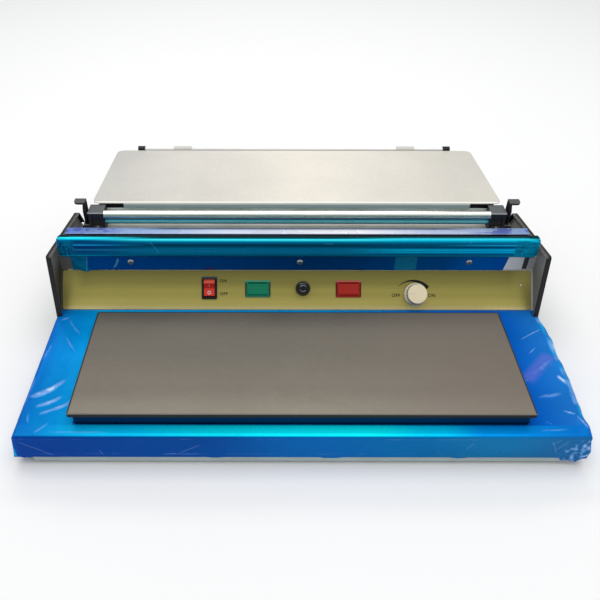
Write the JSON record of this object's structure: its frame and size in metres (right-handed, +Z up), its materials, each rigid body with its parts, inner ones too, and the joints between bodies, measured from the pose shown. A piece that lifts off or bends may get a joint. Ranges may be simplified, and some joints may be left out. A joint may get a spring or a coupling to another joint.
{
  "type": "stretch film wrapper",
  "caption": "Table-top hand wrapper for cling film: heated plate in front, sloping control panel, hot-bar cutter, guide rollers and a hinged lid over the film bay",
  "frame": {"origin": "middle of the machine on the table, at the undersides of the feet", "axes": "+X to the operator's right along the machine's width, +Y from the operator to the back, +Z up"},
  "size_m": [0.59, 0.48, 0.145],
  "materials": {
    "bare_steel": "brushed",
    "beam_film": "film",
    "bed_tube": "turned",
    "black_coating": "matt",
    "black_paint": "satin",
    "black_plastic": "matt",
    "black_plate": "anodised",
    "blue_roller": "film",
    "ceramic_fibre": "fibre",
    "cheek_paint": "hammered",
    "chrome_roller": "polished",
    "cream_paint": "satin",
    "cream_plastic": "satin",
    "dark_blue_paint": "gloss",
    "filmed_steel": "film",
    "fuse_glass": "clear",
    "gold_fascia": "brushed",
    "green_lens": "gloss",
    "green_plastic": "gloss",
    "grey_paint": "satin",
    "housing_plastic": "matt",
    "lid_steel": "brushed",
    "lilac_film": "film",
    "mica": "matt",
    "plate_coating": "satin",
    "red_lead": "satin",
    "red_lens": "gloss",
    "red_plastic": "gloss",
    "rubber_black": "matt",
    "steel_dull": "dull",
    "white_plastic": "satin",
    "zinc": "plated"
  },
  "bodies": {
    "base": {"base_pan": "grey_paint", "bay_frame_left": "black_paint", "bay_frame_right": "black_paint", "beam_cap_left": "beam_film", "beam_cap_right": "beam_film", "bed_bushes": "white_plastic", "bracket_screws": "zinc", "cheek_left": "cheek_paint", "cheek_right": "cheek_paint", "control_panel": "gold_fascia", "cord_gland": "black_plastic", "cutter_beam": "beam_film", "cutter_bracket": "bare_steel", "cutter_hot_bar": "black_coating", "cutter_insulator": "black_plastic", "cutter_lead": "red_lead", "deck_shell": "filmed_steel", "dimmer": "zinc", "film_rest_strip": "lilac_film", "foot_front_left": "rubber_black", "foot_front_right": "rubber_black", "foot_rear_left": "rubber_black", "foot_rear_right": "rubber_black", "foot_screws": "zinc", "front_tie": "cream_paint", "fuse_holder_body": "black_plastic", "heat_lamp_housing": "red_plastic", "heat_lamp_lens": "red_lens", "heating_element": "mica", "hinge_rod": "bare_steel", "hot_plate": "black_plate", "hot_plate_base": "dark_blue_paint", "insulation_pad": "ceramic_fibre", "lid_bumpers": "rubber_black", "panel_backing": "steel_dull", "partition": "steel_dull", "plate_cover": "plate_coating", "plate_screws": "zinc", "power_lamp_housing": "green_plastic", "power_lamp_lens": "green_lens", "rear_tie": "black_paint", "rear_wall": "cheek_paint", "rocker_housing": "black_plastic", "roller_housing_left": "housing_plastic", "roller_housing_right": "housing_plastic", "roller_tie": "grey_paint", "terminal_block": "white_plastic"},
    "lid": {"top_plate": "lid_steel", "hinge_straps": "steel_dull"},
    "rocker": {"rocker_paddle": "red_plastic"},
    "fuse": {"fuse_cap": "black_plastic", "glass_fuse": "fuse_glass"},
    "knob": {"heat_knob": "cream_plastic", "dimmer_shaft": "zinc"},
    "upper_guide": {"upper_roller": "chrome_roller"},
    "lower_guide": {"lower_roller": "blue_roller"},
    "bed_front": {"bed_roller_front": "bed_tube"},
    "bed_rear": {"bed_roller_rear": "bed_tube"},
    "latch_l": {"latch_left": "black_paint"},
    "latch_r": {"latch_right": "black_paint"}
  },
  "joints": [
    {"name": "lid_hinge", "type": "hinge", "parent": "base", "child": "lid", "pos_m": [0, 0.23, 0.1216], "axis": [-1, 0, 0], "range_deg": [0, 100]},
    {"name": "cutter_switch", "type": "hinge", "parent": "base", "child": "rocker", "pos_m": [-0.109, -0.02668, 0.06597], "axis": [-1, 0, 0], "range_deg": [0, 22]},
    {"name": "fuse_pull", "type": "slide", "parent": "base", "child": "fuse", "axis": [0, -0.7513, 0.6599], "range_m": [0, 0.03]},
    {"name": "heat_dial", "type": "hinge", "parent": "base", "child": "knob", "pos_m": [0.1465, -0.03313, 0.06165], "axis": [0, 0.7513, -0.6599], "range_deg": [0, 180]},
    {"name": "upper_roller_spin", "type": "hinge", "parent": "base", "child": "upper_guide", "pos_m": [0, 0.0405, 0.13], "axis": [1, 0, 0], "continuous": true},
    {"name": "lower_roller_spin", "type": "hinge", "parent": "base", "child": "lower_guide", "pos_m": [0, 0.043, 0.1198], "axis": [1, 0, 0], "continuous": true},
    {"name": "front_bed_spin", "type": "hinge", "parent": "base", "child": "bed_front", "pos_m": [0, 0.1, 0.034], "axis": [1, 0, 0], "continuous": true},
    {"name": "rear_bed_spin", "type": "hinge", "parent": "base", "child": "bed_rear", "pos_m": [0, 0.172, 0.034], "axis": [1, 0, 0], "continuous": true},
    {"name": "left_latch", "type": "hinge", "parent": "base", "child": "latch_l", "pos_m": [-0.269, 0.0467, 0.114], "axis": [0, -1, 0], "range_deg": [0, 12], "stiffness_Nm_per_rad": 0.1, "springref_deg": -5.73},
    {"name": "right_latch", "type": "hinge", "parent": "base", "child": "latch_r", "pos_m": [0.269, 0.0467, 0.114], "axis": [0, 1, 0], "range_deg": [0, 12], "stiffness_Nm_per_rad": 0.1, "springref_deg": -5.73}
  ]
}
